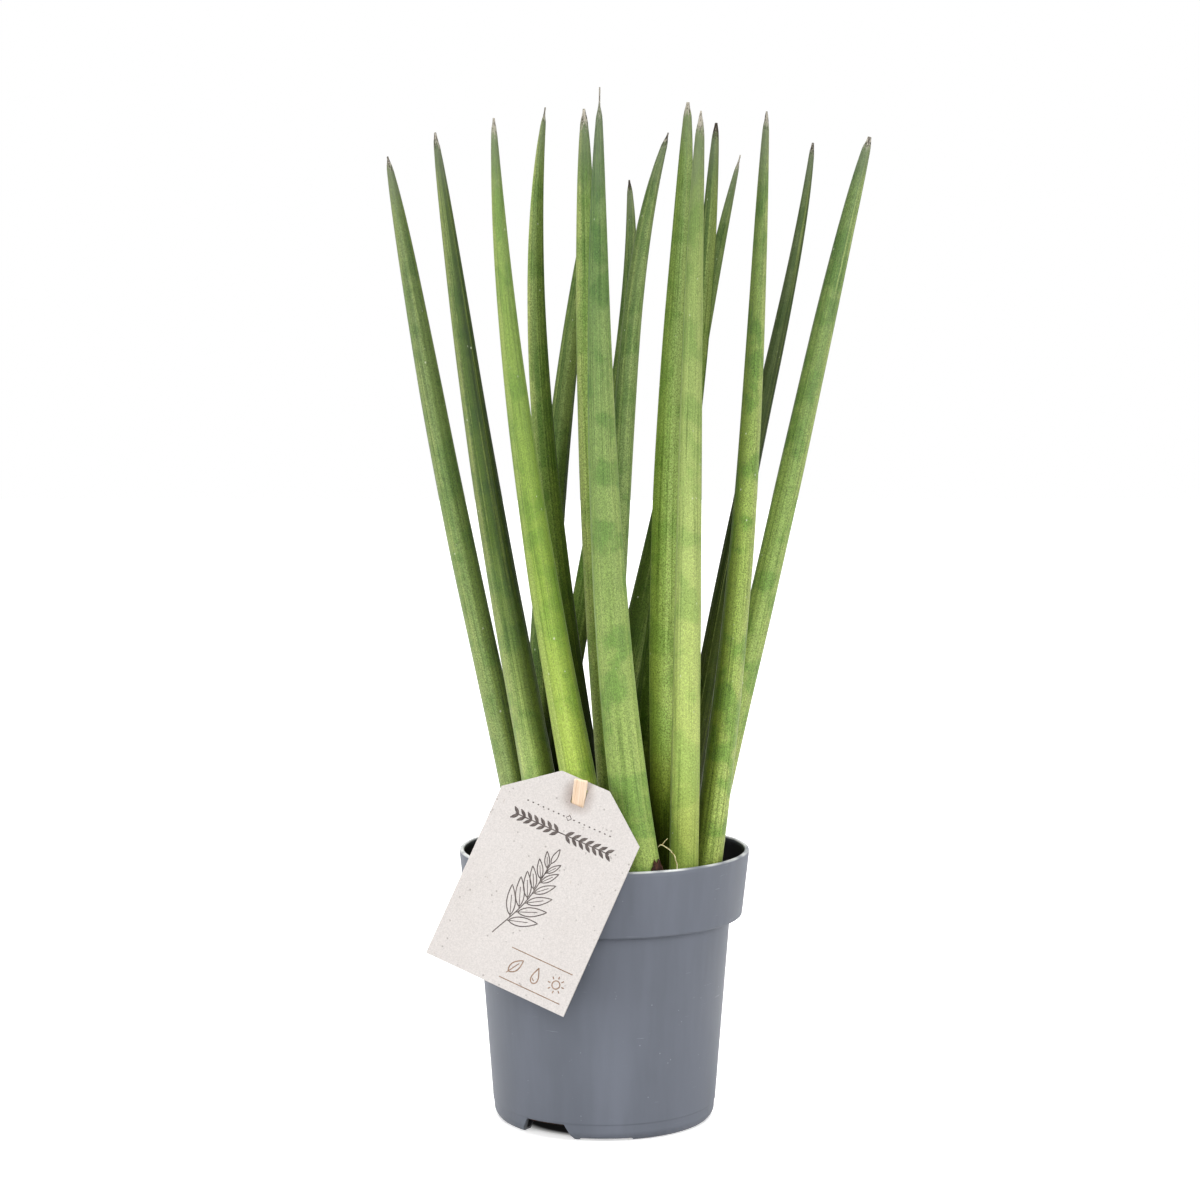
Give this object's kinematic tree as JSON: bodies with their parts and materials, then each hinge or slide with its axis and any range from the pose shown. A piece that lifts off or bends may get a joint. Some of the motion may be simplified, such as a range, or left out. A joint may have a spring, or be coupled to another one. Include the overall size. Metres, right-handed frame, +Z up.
{
  "type": "cylindrical snake plant in nursery pot",
  "caption": "Upright succulent with round tapering spear leaves, growing from soil in a collared plastic nursery pot, with a clipped-corner card tag on a wooden stick.",
  "frame": {"origin": "middle of the pot's foot, on the surface that the pot stands on", "axes": "+Z up along the pot's axis, -Y to the front, where the tag leans on the rim"},
  "size_m": [0.1979, 0.1423, 0.418],
  "materials": {
    "pot_plastic": "satin blue-grey moulded plastic",
    "soil": "dark crumbly peat and bark",
    "leaf_skin": "semi-matt ribbed green skin with soft cross bands",
    "tag_card": "uncoated recycled card with grey flecks",
    "stick_wood": "bare pale wood",
    "dry_husk": "dry brown papery sheath",
    "root_fibre": "pale straw-coloured fibre"
  },
  "bodies": {
    "root": {"pot": "pot_plastic", "soil": "soil", "leaf_01": "leaf_skin", "leaf_02": "leaf_skin", "leaf_03": "leaf_skin", "leaf_04": "leaf_skin", "leaf_05": "leaf_skin", "leaf_06": "leaf_skin", "leaf_07": "leaf_skin", "leaf_08": "leaf_skin", "leaf_09": "leaf_skin", "leaf_10": "leaf_skin", "leaf_11": "leaf_skin", "leaf_12": "leaf_skin", "leaf_13": "leaf_skin", "leaf_14": "leaf_skin", "leaf_15": "leaf_skin", "leaf_16": "leaf_skin", "care_tag": "tag_card", "tag_stick": "stick_wood", "dry_sheath": "dry_husk", "root_fibre": "root_fibre"}
  },
  "joints": []
}
